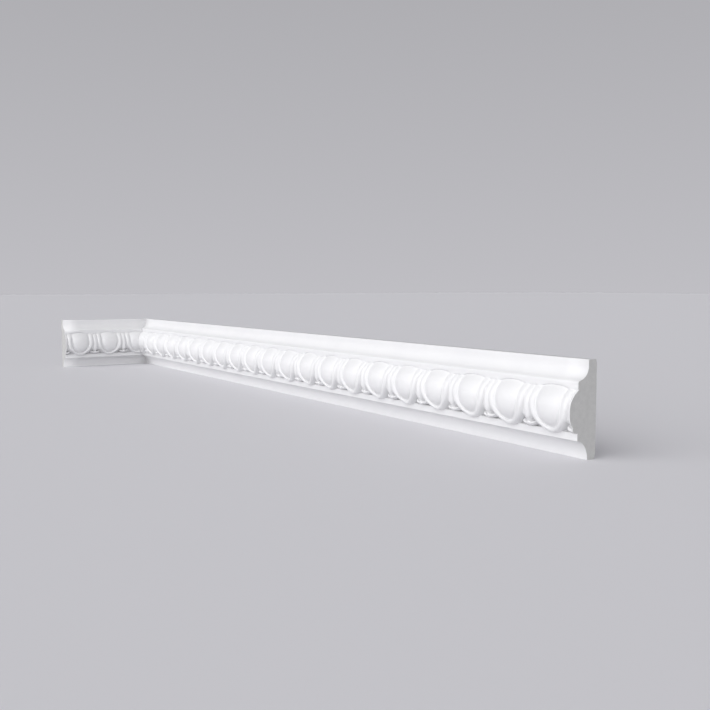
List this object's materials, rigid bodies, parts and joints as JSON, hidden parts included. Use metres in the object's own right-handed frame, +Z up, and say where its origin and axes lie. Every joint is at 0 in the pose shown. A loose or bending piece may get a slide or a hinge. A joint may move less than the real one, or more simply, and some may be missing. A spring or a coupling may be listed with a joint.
{
  "type": "wall moulding",
  "caption": "White egg-and-dart wall moulding turning an inside corner: a long length and a short return, mitred together and cut square at their free ends.",
  "frame": {"origin": "middle of the long length's flat back, at mid-height, where the moulding is fixed to the wall", "axes": "+Z up, +X along the long length away from the corner, +Y into the wall behind the long length, so its face looks towards -Y; the return runs from the corner towards -Y with its face towards +X"},
  "size_m": [1.055, 0.155, 0.08],
  "materials": {
    "white_moulding": "smooth satin white moulded foam, as primed"
  },
  "bodies": {
    "root": {"long_length": "white_moulding", "short_return": "white_moulding"}
  },
  "joints": []
}
